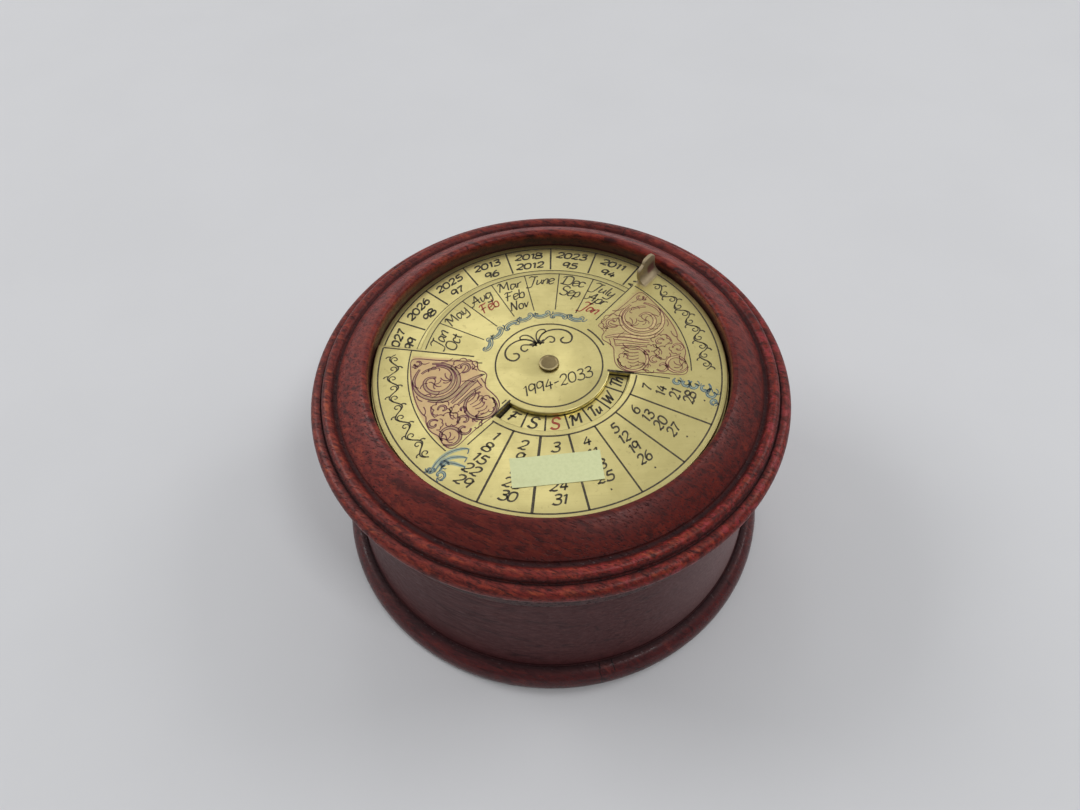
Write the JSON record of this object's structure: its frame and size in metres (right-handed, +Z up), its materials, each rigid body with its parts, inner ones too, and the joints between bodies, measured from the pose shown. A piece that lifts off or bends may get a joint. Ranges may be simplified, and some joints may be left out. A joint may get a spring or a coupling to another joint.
{
  "type": "perpetual desk calendar box",
  "caption": "Round turned wooden desk box with a lift-off moulded lid that carries a brass perpetual calendar dial; the upper plate turns by a finger tab.",
  "frame": {"origin": "on the table, on the axis of the box, under the base felt", "axes": "+Z up along the axis of the box and of the dial; -Y is the front, the side of the dial that is nearest in the picture"},
  "size_m": [0.0994, 0.0994, 0.0558],
  "materials": {
    "wood_lid": "open-grained hardwood, red-brown stain, satin lacquer, dark in the grooves",
    "wood_drum": "smooth turned hardwood, dark brown-red stain, satin lacquer",
    "wood_base": "turned hardwood, dark red-brown stain, glossier lacquer on the bead",
    "wood_inner": "bare turned hardwood on faces that are covered",
    "brass_dial": "etched and lacquered sheet brass, satin, lines filled with colour",
    "brass_rivet": "turned brass, slightly browned",
    "steel_screw": "zinc-plated wood screws",
    "spacer": "thin fibre washer",
    "foam_pad": "double-sided foam mounting pad",
    "card": "grey-brown cut card",
    "lining_cloth": "short-pile lining cloth, wine red",
    "felt": "baize, dark green",
    "label_paper": "smooth pale green paper, bare"
  },
  "bodies": {
    "box": {"base_felt": "felt", "base_plate": "wood_base", "base_screws": "steel_screw", "drum_wall": "wood_drum", "floor_card": "card", "floor_lining": "lining_cloth", "wall_lining": "lining_cloth"},
    "lid": {"lid_rim": "wood_lid", "lid_panel": "wood_inner", "lid_card": "card", "lid_lining": "lining_cloth", "dial_pad": "foam_pad", "rivet_burr": "brass_rivet", "year_plate": "brass_dial", "spacer_washer": "spacer", "pivot_rivet": "brass_rivet"},
    "dial": {"month_plate": "brass_dial", "blank_label": "label_paper"}
  },
  "joints": [
    {"name": "lid_lift", "type": "slide", "parent": "box", "child": "lid", "axis": [0, 0, 1], "range_m": [0, 0.03]},
    {"name": "dial_turn", "type": "hinge", "parent": "lid", "child": "dial", "pos_m": [0, 0, 0.0508], "axis": [0, 0, 1], "continuous": true}
  ]
}
